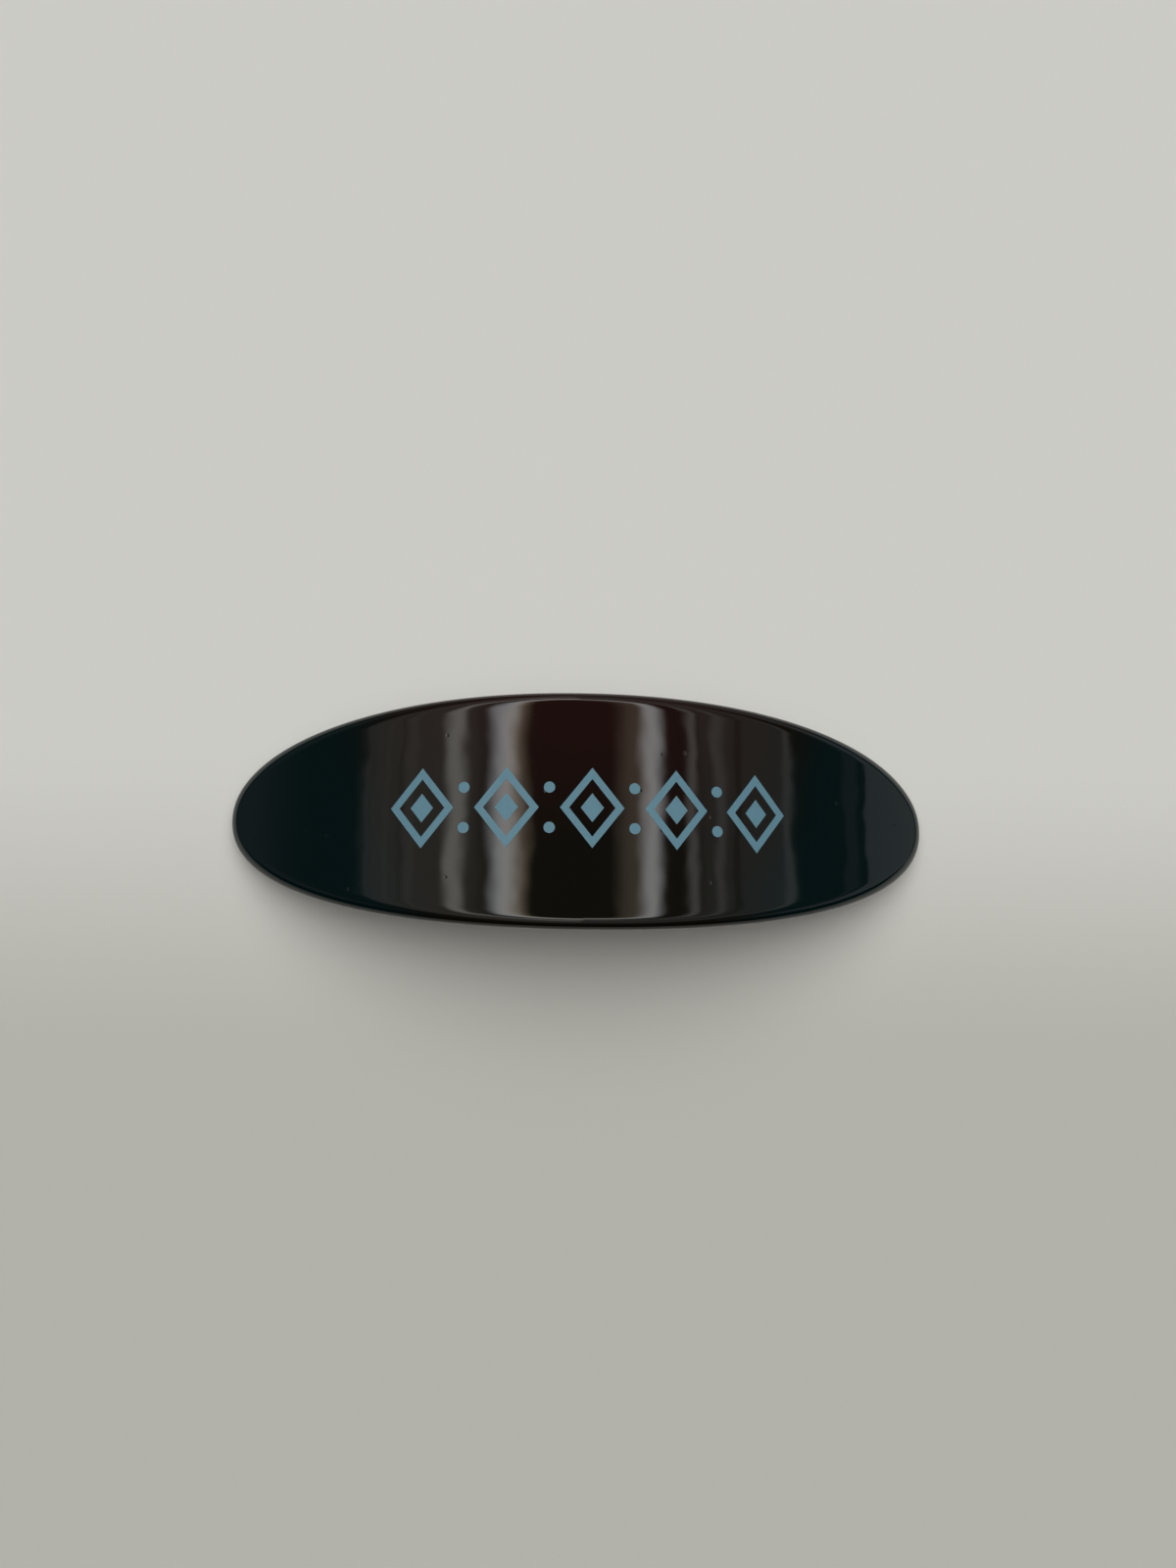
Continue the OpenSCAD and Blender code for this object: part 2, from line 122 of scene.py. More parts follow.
studio = {
    "floorSize": 3.0,
    "floorColour": "#dcdbd8",
    # Painted shadow: towards -Y the floor's colour turns darker, to stand for the viewer's shadow,
    # not for any tone of the table itself
    "paintedShadowColour": "#c1bfba",  # past the soft edge of the viewer's shadow
    "paintedShadowEdge": (14 * mm, -34 * mm),  # where along Y that edge starts and ends
    "backdrop": ("#aeaca5", "#cbcbc5"),  # what the eye sees past the floor, towards -Y and +Y
    "backdropFade": (-0.8, 0.8),  # sine of the direction, between the two
    "lampTilt": 21.0,  # degrees towards +Y, so that the shadow falls on the near side
    "lampSpread": 80.0,  # degrees that the lamp fills of the sky
    "lampPower": 2.12,
    "lampColour": "#fdfffc",
}
# The room that the gloss mirrors, by angle in degrees from straight up towards +X. The middle is
# in the viewer's shade, a rounded oblong with the rim of the ceiling lamp round it.
room = {
    "shadeMiddle": (3.0, 11.5),  # towards +X and +Y
    "shadeHalf": (12.0, 32.5),
    "shadeCorner": 11.0,
    "shadeFade": (-14.0, 2.0),  # from its darkest to the plain air, across its edge
    "bounce": 0.36,  # share of it that reaches dull surfaces, which the lamp lights as well
    "nearDark": (-62.0, -44.0),  # towards -Y stands the viewer
    "air": "#32312e",
}
# Soft strips of light: angle, half width, width of the soft edge, brightness and colour
strips = [
    (-13.9, 4.4, 4.2, 4.2, "#f0f2f4"),
    (-11.2, 4.0, 3.8, 1.6, "#ffe8ca"),
    (-24.0, 3.0, 2.7, 2.0, "#f3f2ec"),
    (-31.0, 15.5, 6.0, 0.37, "#f5eee6"),
    (-33.5, 1.8, 1.6, 0.14, "#f5ece0"),
    (-35.4, 0.6, 0.3, -0.10, "#f5ece0"),
    (-38.4, 0.7, 0.4, 0.07, "#f5ece0"),
    (-43.0, 1.0, 0.9, 0.12, "#e9eef0"),
    (-75.0, 20.0, 17.0, 0.11, "#e6ecf2"),
    (17.5, 3.5, 3.3, 4.2, "#f1f2f3"),
    (13.8, 5.4, 5.2, 0.7, "#ffe8cc"),
    (25.9, 1.8, 1.6, 1.0, "#f4f2ee"),
    (32.4, 2.4, 2.2, 0.4, "#f4f2ee"),
    (38.4, 12.2, 2.6, 0.26, "#eef0ec"),
    (36.4, 0.9, 0.4, -0.14, "#f0f2ee"),
    (48.0, 1.8, 1.6, 0.28, "#eef2f0"),
    (63.6, 2.6, 1.6, 0.10, "#e6ecf2"),
    (78.3, 11.0, 0.8, 0.38, "#e6ecf2"),
]


# Brightness of the room in every direction
def makeAir():
    world = bpy.data.worlds.new("studioAir")
    world.use_nodes = True
    tree = world.node_tree
    tree.nodes.clear()
    view = addNode(tree, "ShaderNodeTexCoord").outputs["Generated"]
    parts = addNode(tree, "ShaderNodeSeparateXYZ", view).outputs
    corner = radians(room["shadeCorner"])
    middles = [radians(a) for a in room["shadeMiddle"]]
    halves = [radians(a) - corner for a in room["shadeHalf"]]
    angles, past = [], []
    for axis, middle, half in zip("XY", middles, halves):
        angle = addNode(tree, "ShaderNodeMath", parts[axis], parts["Z"], operation="ARCTAN2")
        angle = addNode(tree, "ShaderNodeMath", angle, middle, operation="SUBTRACT")
        reach = addNode(tree, "ShaderNodeMath", angle, operation="ABSOLUTE")
        angles.append(angle)
        past.append(addNode(tree, "ShaderNodeMath", reach, half, operation="SUBTRACT"))
    outside = [addNode(tree, "ShaderNodeMath", q, 0.0, operation="MAXIMUM") for q in past]
    squares = [addNode(tree, "ShaderNodeMath", q, q, operation="MULTIPLY") for q in outside]
    gap = addNode(tree, "ShaderNodeMath", *squares, operation="ADD")
    gap = addNode(tree, "ShaderNodeMath", gap, operation="SQRT")
    inside = addNode(tree, "ShaderNodeMath", *past, operation="MAXIMUM")
    inside = addNode(tree, "ShaderNodeMath", inside, 0.0, operation="MINIMUM")
    gap = addNode(tree, "ShaderNodeMath", gap, inside, operation="ADD")
    reach = addNode(tree, "ShaderNodeMath", gap, halves[0], operation="ADD")
    side = addNode(tree, "ShaderNodeMath", angles[0], operation="SIGN")
    angle = addNode(tree, "ShaderNodeMath", side, reach, middles[0], operation="MULTIPLY_ADD")
    fade = [radians(a) for a in room["shadeFade"]]
    shade = addNode(tree, "ShaderNodeMapRange", gap, *fade, interpolation_type="SMOOTHSTEP")
    tall = addNode(tree, "ShaderNodeMath", angles[1], middles[1], operation="ADD")
    person = [radians(a) for a in room["nearDark"]]
    person = addNode(tree, "ShaderNodeMapRange", tall, *person, interpolation_type="SMOOTHSTEP")
    plain = linear(room["air"])[:3]
    light = addNode(tree, "ShaderNodeVectorMath", plain, Scale=shade, operation="SCALE")
    for middle, half, soft, brightness, colour in strips:
        away = addNode(tree, "ShaderNodeMath", angle, radians(middle), operation="SUBTRACT")
        away = addNode(tree, "ShaderNodeMath", away, operation="ABSOLUTE")
        edges = [radians(half), radians(half - soft)]
        glow = addNode(tree, "ShaderNodeMapRange", away, *edges, interpolation_type="SMOOTHSTEP")
        tint = [brightness * c for c in linear(colour)[:3]]
        light = addNode(tree, "ShaderNodeVectorMath", glow, tint, light, operation="MULTIPLY_ADD")
    path = addNode(tree, "ShaderNodeLightPath").outputs
    dull = path["Is Diffuse Ray"]
    share = addNode(tree, "ShaderNodeMapRange", dull, 0.0, 1.0, 1.0, room["bounce"])
    share = addNode(tree, "ShaderNodeMath", share, person, operation="MULTIPLY")
    light = addNode(tree, "ShaderNodeVectorMath", light, Scale=share, operation="SCALE")
    tints = [linear(tint) for tint in studio["backdrop"]]
    fade = studio["backdropFade"]
    facing = addNode(tree, "ShaderNodeMapRange", parts["Y"], *fade, interpolation_type="SMOOTHSTEP")
    far = addNode(tree, "ShaderNodeMix", facing, *tints, data_type="RGBA").outputs[2]
    colour = addNode(tree, "ShaderNodeMix", path["Is Camera Ray"], light, far, data_type="RGBA")
    air = addNode(tree, "ShaderNodeBackground", colour)
    addNode(tree, "ShaderNodeOutputWorld", air)
    bpy.context.scene.world = world


def makeStudio():
    half = studio["floorSize"] / 2
    mesh = bpy.data.meshes.new("floor")
    corners = [(-half, -half, 0), (half, -half, 0), (half, half, 0), (-half, half, 0)]
    mesh.from_pydata(corners, [], [(0, 1, 2, 3)])
    floor = bpy.data.objects.new("floor", mesh)
    bpy.context.collection.objects.link(floor)
    paint, tree, shader = startMaterial("paleTableTop")
    place = addNode(tree, "ShaderNodeTexCoord").outputs["Object"]
    place = addNode(tree, "ShaderNodeSeparateXYZ", place).outputs
    # Painted shadow: the floor colour is blended darker towards -Y where the viewer's shadow would
    # fall
    edge = studio["paintedShadowEdge"]
    near = addNode(tree, "ShaderNodeMapRange", place["Y"], *edge, interpolation_type="SMOOTHSTEP")
    tints = [linear(studio[name]) for name in ("floorColour", "paintedShadowColour")]
    colour = addNode(tree, "ShaderNodeMix", near, *tints, data_type="RGBA")
    tree.links.new(colour.outputs[2], shader.inputs["Base Color"])
    shader.inputs["Roughness"].default_value = 1.0
    shader.inputs["Specular IOR Level"].default_value = 0.0
    mesh.materials.append(paint)
    data = bpy.data.lights.new("lamp", "SUN")
    data.angle = radians(studio["lampSpread"])
    data.energy = studio["lampPower"]
    data.color = linear(studio["lampColour"])[:3]
    lamp = bpy.data.objects.new("lamp", data)
    lamp.rotation_euler = (radians(-studio["lampTilt"]), 0, 0)
    lamp.visible_glossy = False  # the room above stands for it in the gloss
    lamp.visible_camera = False
    bpy.context.collection.objects.link(lamp)
    bpy.context.scene.view_settings.view_transform = "Standard"


makeAir()
makeStudio()
print("studio made")

roll = 1.3 * mm  # tumbled onto the upper edge
archRadius = 95 * mm
cover = {
    "Arch Radius": archRadius,
    "Thickness": 2.8 * mm,
    "Top Roll": roll,
    "Top Reach": 2.0 * mm,  # how far that roll runs in from the edge
    "Low Roll": 0.8 * mm,
    "Squareness": 2.15,  # of the superellipse, where 2 is an ellipse
    "Half Width": cadHigh[1],
    "Half Arc": archRadius * asin((cadHigh[0] - roll) / (archRadius - roll)) + roll,
    "Top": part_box("cover_plate")[1][2],
    "Wave": 0.11 * mm,  # height of the waves that tumbling and hot bending leave
    "Wave Length": 13 * mm,
    "Round": 288,  # stretches round the outline
    "Across": 24,  # rows from the middle line to the edge
    "Roll Steps": 12,
    "Side Steps": 3,
    "Crowding": 1.6,  # how much closer together the rows stand near the edge
    "Weld": 0.002 * mm,  # points nearer than this become one
}
film = {
    "Count": 5,
    "Pitch": 11.4 * mm,
    "Lozenge Width": 8.6 * mm,
    "Lozenge Height": 10.8 * mm,
    "Opening": 0.72,  # share of the lozenge
    "Core": 0.36,
    "Dot Radius": 0.75 * mm,
    "Dot Reach": 0.25,  # from the middle line, as a share of the lozenge's height
    "Dot Sides": 32,
    "Splits": 3,  # of each face, so that the print follows the arch
    "Ink": 0.03 * mm,  # height above the sheet
    "Sunk": 0.25,  # share of that height which lies below the sheet's face as well
    "Weld": 0.0005 * mm,
}
bent = ["Arch Radius", "Top", "Wave", "Wave Length"]


def addInputs(tree, **kinds):
    for kind, names in kinds.items():
        for name in names:
            tree.interface.new_socket(name, in_out="INPUT", socket_type="NodeSocket" + kind)
    return tree.nodes.new("NodeGroupInput").outputs


# Bends flat sheet onto the arch: Along runs down the length, and Depth goes in from the outer face
def makeBend():
    tree = bpy.data.node_groups.new("bendOnArch", "GeometryNodeTree")
    given = addInputs(tree, Float=["Along", "Across", "Depth"] + bent)
    tree.interface.new_socket("Position", in_out="OUTPUT", socket_type="NodeSocketVector")
    flat = addNode(tree, "ShaderNodeCombineXYZ", given["Along"], given["Across"], 0.0)
    spacing = addNode(tree, "ShaderNodeMath", 1.0, given["Wave Length"], operation="DIVIDE")
    noise = addNode(tree, "ShaderNodeTexNoise", flat, Scale=spacing, Detail=2.0, Roughness=0.45)
    wave = addNode(tree, "ShaderNodeMath", noise, 0.5, operation="SUBTRACT")
    wave = addNode(tree, "ShaderNodeMath", wave, given["Wave"], operation="MULTIPLY")
    arch = given["Arch Radius"]
    radius = addNode(tree, "ShaderNodeMath", arch, given["Depth"], operation="SUBTRACT")
    radius = addNode(tree, "ShaderNodeMath", radius, wave, operation="ADD")
    angle = addNode(tree, "ShaderNodeMath", given["Along"], arch, operation="DIVIDE")
    side = addNode(tree, "ShaderNodeMath", angle, operation="SINE")
    rise = addNode(tree, "ShaderNodeMath", angle, operation="COSINE")
    x = addNode(tree, "ShaderNodeMath", side, radius, operation="MULTIPLY")
    middle = addNode(tree, "ShaderNodeMath", given["Top"], arch, operation="SUBTRACT")
    z = addNode(tree, "ShaderNodeMath", rise, radius, middle, operation="MULTIPLY_ADD")
    placed = addNode(tree, "ShaderNodeCombineXYZ", x, given["Across"], z)
    addNode(tree, "NodeGroupOutput", placed)
    return tree


# The sheet is one grid. A column goes out over the face, round the edge and back underneath.
def makeSheetTree(bend, material):
    tree = bpy.data.node_groups.new("acetateSheet", "GeometryNodeTree")
    sizes = ["Half Arc", "Half Width", "Thickness", "Squareness", "Crowding", "Weld"]
    sizes += ["Top Roll", "Top Reach", "Low Roll"] + bent
    given = addInputs(tree, Float=sizes, Int=["Round", "Across", "Roll Steps", "Side Steps"])
    tree.interface.new_socket("Geometry", in_out="OUTPUT", socket_type="NodeSocketGeometry")
    side = addNode(tree, "ShaderNodeMath", given["Across"], given["Roll Steps"], operation="ADD")
    low = addNode(tree, "ShaderNodeMath", side, given["Side Steps"], operation="ADD")
    under = addNode(tree, "ShaderNodeMath", low, given["Roll Steps"], operation="ADD")
    last = addNode(tree, "ShaderNodeMath", under, given["Across"], operation="ADD")
    rows = addNode(tree, "ShaderNodeMath", last, 1.0, operation="ADD")
    columns = addNode(tree, "ShaderNodeMath", given["Round"], 1.0, operation="ADD")
    grid = addNode(tree, "GeometryNodeMeshGrid", Vertices_X=columns, Vertices_Y=rows)
    index = addNode(tree, "GeometryNodeInputIndex")
    column = addNode(tree, "ShaderNodeMath", index, rows, operation="DIVIDE")
    column = addNode(tree, "ShaderNodeMath", column, operation="FLOOR")
    before = addNode(tree, "ShaderNodeMath", column, rows, operation="MULTIPLY")
    step = addNode(tree, "ShaderNodeMath", index, before, operation="SUBTRACT")
    turn = addNode(tree, "ShaderNodeMath", column, given["Round"], operation="DIVIDE")
    turn = addNode(tree, "ShaderNodeMath", turn, 2 * pi, operation="MULTIPLY")

    # How far the point is through each stretch of its column:
    # out, top roll, side, low roll and back
    shares = []
    marks = [0.0, given["Across"], side, low, under, last]
    for start, end in zip(marks, marks[1:]):
        shares.append(addNode(tree, "ShaderNodeMapRange", step, start, end, 0.0, 1.0))
    out, topShare, sideShare, lowShare, back = shares
    topTurn = addNode(tree, "ShaderNodeMath", topShare, pi / 2, operation="MULTIPLY")
    lowTurn = addNode(tree, "ShaderNodeMath", lowShare, pi / 2, operation="MULTIPLY")
    topSine = addNode(tree, "ShaderNodeMath", topTurn, operation="SINE")
    topCosine = addNode(tree, "ShaderNodeMath", topTurn, operation="COSINE")
    lowSine = addNode(tree, "ShaderNodeMath", lowTurn, operation="SINE")
    lowCosine = addNode(tree, "ShaderNodeMath", lowTurn, operation="COSINE")

    # Inset from the outline, and depth below the outer face
    topIn = addNode(tree, "ShaderNodeMapRange", topSine, 0.0, 1.0, given["Top Reach"], 0.0)
    lowIn = addNode(tree, "ShaderNodeMapRange", lowCosine, 0.0, 1.0, given["Low Roll"], 0.0)
    inset = addNode(tree, "ShaderNodeMath", topIn, lowIn, operation="ADD")
    rolls = addNode(tree, "ShaderNodeMath", given["Top Roll"], given["Low Roll"], operation="ADD")
    wall = addNode(tree, "ShaderNodeMath", given["Thickness"], rolls, operation="SUBTRACT")
    topDown = addNode(tree, "ShaderNodeMapRange", topCosine, 0.0, 1.0, given["Top Roll"], 0.0)
    sideDown = addNode(tree, "ShaderNodeMath", sideShare, wall, topDown, operation="MULTIPLY_ADD")
    lowRoll = given["Low Roll"]
    depth = addNode(tree, "ShaderNodeMath", lowSine, lowRoll, sideDown, operation="MULTIPLY_ADD")

    # The superellipse, and the direction square to it
    power = addNode(tree, "ShaderNodeMath", 2.0, given["Squareness"], operation="DIVIDE")
    steep = addNode(tree, "ShaderNodeMath", given["Squareness"], 1.0, operation="SUBTRACT")
    places, slopes = [], []
    for wheel, half in [("COSINE", given["Half Arc"]), ("SINE", given["Half Width"])]:
        swing = addNode(tree, "ShaderNodeMath", turn, operation=wheel)
        size = addNode(tree, "ShaderNodeMath", swing, operation="ABSOLUTE")
        sign = addNode(tree, "ShaderNodeMath", swing, operation="SIGN")
        unit = addNode(tree, "ShaderNodeMath", size, power, operation="POWER")
        place = addNode(tree, "ShaderNodeMath", unit, half, operation="MULTIPLY")
        slope = addNode(tree, "ShaderNodeMath", unit, steep, operation="POWER")
        slope = addNode(tree, "ShaderNodeMath", slope, half, operation="DIVIDE")
        places.append(addNode(tree, "ShaderNodeMath", place, sign, operation="MULTIPLY"))
        slopes.append(addNode(tree, "ShaderNodeMath", slope, sign, operation="MULTIPLY"))
    place = addNode(tree, "ShaderNodeCombineXYZ", *places, 0.0)
    outward = addNode(tree, "ShaderNodeCombineXYZ", *slopes, 0.0)
    outward = addNode(tree, "ShaderNodeVectorMath", outward, operation="NORMALIZE")
    inwards = addNode(tree, "ShaderNodeMath", inset, -1.0, operation="MULTIPLY")
    edge = addNode(tree, "ShaderNodeVectorMath", outward, Scale=inwards, operation="SCALE")
    edge = addNode(tree, "ShaderNodeVectorMath", place, edge, operation="ADD")
    edge = addNode(tree, "ShaderNodeSeparateXYZ", edge).outputs

    # Rows stand closer together near the edge, so that the face keeps its own shading there
    spread = addNode(tree, "ShaderNodeMath", out, back, operation="SUBTRACT")
    gap = addNode(tree, "ShaderNodeMath", 1.0, spread, operation="SUBTRACT")
    gap = addNode(tree, "ShaderNodeMath", gap, given["Crowding"], operation="POWER")
    spread = addNode(tree, "ShaderNodeMath", 1.0, gap, operation="SUBTRACT")
    across = addNode(tree, "ShaderNodeMath", edge["Y"], spread, operation="MULTIPLY")
    place = addNode(tree, "GeometryNodeGroup", node_tree=bend)
    wires = {name: given[name] for name in bent}
    wires |= {"Along": edge["X"], "Across": across.outputs[0], "Depth": depth.outputs[0]}
    for name, value in wires.items():
        tree.links.new(value, place.inputs[name])
    sheet = addNode(tree, "GeometryNodeSetPosition", grid.outputs["Mesh"], Position=place)
    sheet = addNode(tree, "GeometryNodeMergeByDistance", sheet, Distance=given["Weld"])
    sheet = addNode(tree, "GeometryNodeSetShadeSmooth", sheet)
    sheet = addNode(tree, "GeometryNodeRealizeInstances", sheet)
    sheet = addNode(tree, "GeometryNodeSetMaterial", sheet, Material=material)
    addNode(tree, "NodeGroupOutput", sheet)
    return tree


# The print: a row of open lozenges with a core in each, and two dots in each gap
def makeFilmTree(bend, material):
    tree = bpy.data.node_groups.new("printedRow", "GeometryNodeTree")
    sizes = ["Pitch", "Lozenge Width", "Lozenge Height", "Opening", "Core"]
    sizes += ["Dot Radius", "Dot Reach", "Ink", "Sunk", "Weld"] + bent
    given = addInputs(tree, Float=sizes, Int=["Count", "Dot Sides", "Splits"])
    tree.interface.new_socket("Geometry", in_out="OUTPUT", socket_type="NodeSocketGeometry")
    unit = addNode(tree, "GeometryNodeCurvePrimitiveCircle", 4, Radius=0.5)
    wide, tall = given["Lozenge Width"], given["Lozenge Height"]
    size = addNode(tree, "ShaderNodeCombineXYZ", wide, tall, 1.0)
    lozenge = addNode(tree, "GeometryNodeJoinGeometry")
    for share in [1.0, given["Opening"], given["Core"]]:
        scale = addNode(tree, "ShaderNodeVectorMath", size, Scale=share, operation="SCALE")
        loop = addNode(tree, "GeometryNodeTransform", unit, Scale=scale)
        tree.links.new(loop.outputs[0], lozenge.inputs[0])
    lozenge = addNode(tree, "GeometryNodeFillCurve", lozenge)
    sides, radius = given["Dot Sides"], given["Dot Radius"]
    dot = addNode(tree, "GeometryNodeCurvePrimitiveCircle", sides, Radius=radius)
    dot = addNode(tree, "GeometryNodeFillCurve", dot)
    dots = addNode(tree, "GeometryNodeJoinGeometry")
    reach = addNode(tree, "ShaderNodeMath", tall, given["Dot Reach"], operation="MULTIPLY")
    for side in [1.0, -1.0]:
        place = addNode(tree, "ShaderNodeMath", reach, side, operation="MULTIPLY")
        place = addNode(tree, "ShaderNodeCombineXYZ", 0.0, place, 0.0)
        moved = addNode(tree, "GeometryNodeTransform", dot, Translation=place)
        tree.links.new(moved.outputs[0], dots.inputs[0])
    rows = addNode(tree, "GeometryNodeJoinGeometry")
    gaps = addNode(tree, "ShaderNodeMath", given["Count"], 1.0, operation="SUBTRACT")
    step = addNode(tree, "ShaderNodeCombineXYZ", given["Pitch"], 0.0, 0.0)
    for shape, count, extra in [(lozenge, given["Count"], 1.0), (dots, gaps, 0.0)]:
        half = addNode(tree, "ShaderNodeMath", gaps, 1.0 - extra, operation="SUBTRACT")
        half = addNode(tree, "ShaderNodeMath", half, -0.5, operation="MULTIPLY")
        start = addNode(tree, "ShaderNodeVectorMath", step, Scale=half, operation="SCALE")
        line = addNode(tree, "GeometryNodeMeshLine", Count=count, Start_Location=start, Offset=step)
        row = addNode(tree, "GeometryNodeInstanceOnPoints", line, Instance=shape)
        tree.links.new(row.outputs[0], rows.inputs[0])
    row = addNode(tree, "GeometryNodeRealizeInstances", rows)
    row = addNode(tree, "GeometryNodeSubdivideMesh", row, given["Splits"])
    point = addNode(tree, "GeometryNodeInputPosition")
    point = addNode(tree, "ShaderNodeSeparateXYZ", point).outputs
    sunk = addNode(tree, "ShaderNodeMath", given["Ink"], given["Sunk"], operation="MULTIPLY")
    place = addNode(tree, "GeometryNodeGroup", node_tree=bend)
    wires = {name: given[name] for name in bent}
    wires |= {"Along": point["X"], "Across": point["Y"], "Depth": sunk.outputs[0]}
    for name, value in wires.items():
        tree.links.new(value, place.inputs[name])
    row = addNode(tree, "GeometryNodeSetPosition", row, Position=place)
    thick = addNode(tree, "ShaderNodeMath", given["Ink"], sunk, operation="ADD")
    solid = addNode(tree, "GeometryNodeExtrudeMesh", row, Offset_Scale=thick, Individual=False)
    back = addNode(tree, "GeometryNodeFlipFaces", row)
    both = addNode(tree, "GeometryNodeJoinGeometry")
    tree.links.new(solid.outputs["Mesh"], both.inputs[0])
    tree.links.new(back.outputs[0], both.inputs[0])
    row = addNode(tree, "GeometryNodeMergeByDistance", both, Distance=given["Weld"])
    row = addNode(tree, "GeometryNodeRealizeInstances", row)
    row = addNode(tree, "GeometryNodeSetMaterial", row, Material=material)
    addNode(tree, "NodeGroupOutput", row)
    return tree


# Runs a tree on an empty mesh, and keeps what it makes as a plain piece
def makePiece(name, tree, values, node):
    starter = bpy.data.objects.new(name + "Starter", bpy.data.meshes.new(name + "Starter"))
    bpy.context.collection.objects.link(starter)
    modifier = starter.modifiers.new("build", "NODES")
    modifier.node_group = tree
    sockets = {s.name: s.identifier for s in tree.interface.items_tree if s.in_out == "INPUT"}
    for label, socket in sockets.items():
        modifier[socket] = values[label]
    graph = bpy.context.evaluated_depsgraph_get()
    mesh = bpy.data.meshes.new_from_object(starter.evaluated_get(graph), depsgraph=graph)
    bpy.data.objects.remove(starter)
    mesh.name = name
    piece = bpy.data.objects.new(name, mesh)
    bpy.context.collection.objects.link(piece)
    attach(piece, "cover")
    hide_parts(node)
    print(name, len(mesh.polygons), "faces")


acetate = {
    "middle": "#0c0b07",  # almost black, a little olive
    "blush": "#1b0c0a",  # oxblood cloud on the far side
    "ends": "#031012",  # dark teal
    "cloud": 24 * mm,
    "blushDrift": 30 * mm,  # how far the clouds push the edge of the blush, and of the ends
    "endsDrift": 16 * mm,
    "blushEdge": (-9 * mm, 12 * mm),  # along Y, from none to full
    "blushReach": (30 * mm, 10 * mm),  # from the middle, either way along X
    "endsEdge": (22 * mm, 33 * mm),
    "endsSlant": -0.3,  # brings the ends nearer the middle on the -Y side
    "ripple": 4.5 * mm,  # length of the small waves left by the tumbling chips
    "rippleDepth": 0.02 * mm,
    "streak": (9 * mm, 0.4 * mm, 3 * mm),  # faint buffing marks along the sheet
    "streakDepth": 0.0008 * mm,
    "pit": 3.2 * mm,  # spacing of the few tiny pits
    "pitDepth": 0.02 * mm,
    "pitShare": 0.07,  # of the cells that could have one
    "pitSize": (0.03, 0.09),  # its floor and its rim, as shares of the spacing
    "roughness": 0.05,
    "ior": 1.49,
}


# Cellulose acetate sheet, tumble-polished: a wet gloss over dark tints that run into each other
def makeAcetate():
    material, tree, shader = startMaterial("tumbledAcetate")
    place = addNode(tree, "ShaderNodeTexCoord").outputs["Object"]
    parts = addNode(tree, "ShaderNodeSeparateXYZ", place).outputs
    scale = 1 / acetate["cloud"]
    cloud = addNode(tree, "ShaderNodeTexNoise", place, Scale=scale, Detail=3.0, Roughness=0.5)
    drift = addNode(tree, "ShaderNodeMath", cloud, 0.5, operation="SUBTRACT")

    # The oxblood lies towards +Y, and the teal starts nearer the middle on the -Y side
    push = acetate["blushDrift"]
    blush = addNode(tree, "ShaderNodeMath", drift, push, parts["Y"], operation="MULTIPLY_ADD")
    edge = acetate["blushEdge"]
    blush = addNode(tree, "ShaderNodeMapRange", blush, *edge, interpolation_type="SMOOTHSTEP")
    away = addNode(tree, "ShaderNodeMath", parts["X"], operation="ABSOLUTE")
    inner = addNode(tree, "ShaderNodeMapRange", away, *acetate["blushReach"])
    blush = addNode(tree, "ShaderNodeMath", blush, inner, operation="MULTIPLY")
    tints = [linear(acetate[name]) for name in ("middle", "blush")]
    middle = addNode(tree, "ShaderNodeMix", blush, *tints, data_type="RGBA")
    push = acetate["endsDrift"]
    away = addNode(tree, "ShaderNodeMath", drift, push, away, operation="MULTIPLY_ADD")
    slant = acetate["endsSlant"]
    away = addNode(tree, "ShaderNodeMath", parts["Y"], slant, away, operation="MULTIPLY_ADD")
    edge = acetate["endsEdge"]
    ends = addNode(tree, "ShaderNodeMapRange", away, *edge, interpolation_type="SMOOTHSTEP")
    tints = [middle.outputs[2], linear(acetate["ends"])]
    colour = addNode(tree, "ShaderNodeMix", ends, *tints, data_type="RGBA")
    tree.links.new(colour.outputs[2], shader.inputs["Base Color"])

    scale = 1 / acetate["ripple"]
    ripple = addNode(tree, "ShaderNodeTexNoise", place, Scale=scale, Detail=1.0, Roughness=0.4)
    stretch = addNode(tree, "ShaderNodeMapping", place, Scale=[1 / s for s in acetate["streak"]])
    streak = addNode(tree, "ShaderNodeTexNoise", stretch, Scale=1.0, Detail=2.0, Roughness=0.6)
    scale = 1 / acetate["pit"]
    cells = addNode(tree, "ShaderNodeTexVoronoi", place, Scale=scale, voronoi_dimensions="2D")
    few = addNode(tree, "ShaderNodeSeparateColor", cells.outputs["Color"]).outputs["Red"]
    few = addNode(tree, "ShaderNodeMath", few, 1 - acetate["pitShare"], operation="GREATER_THAN")
    pit, edge = cells.outputs["Distance"], acetate["pitSize"]
    pit = addNode(tree, "ShaderNodeMapRange", pit, *edge, interpolation_type="SMOOTHSTEP")
    pit = addNode(tree, "ShaderNodeMath", pit, 1.0, operation="SUBTRACT")
    pit = addNode(tree, "ShaderNodeMath", pit, few, operation="MULTIPLY")
    height = addNode(tree, "ShaderNodeMath", ripple, acetate["rippleDepth"], operation="MULTIPLY")
    for dent, depth in [(streak, acetate["streakDepth"]), (pit, acetate["pitDepth"])]:
        height = addNode(tree, "ShaderNodeMath", dent, depth, height, operation="MULTIPLY_ADD")
    bump = addNode(tree, "ShaderNodeBump", Distance=1.0, Height=height)
    tree.links.new(bump.outputs[0], shader.inputs["Normal"])
    shader.inputs["Roughness"].default_value = acetate["roughness"]
    shader.inputs["IOR"].default_value = acetate["ior"]
    return material


printInk = {"colour": "#5b8192", "roughness": 0.5, "ior": 1.5}


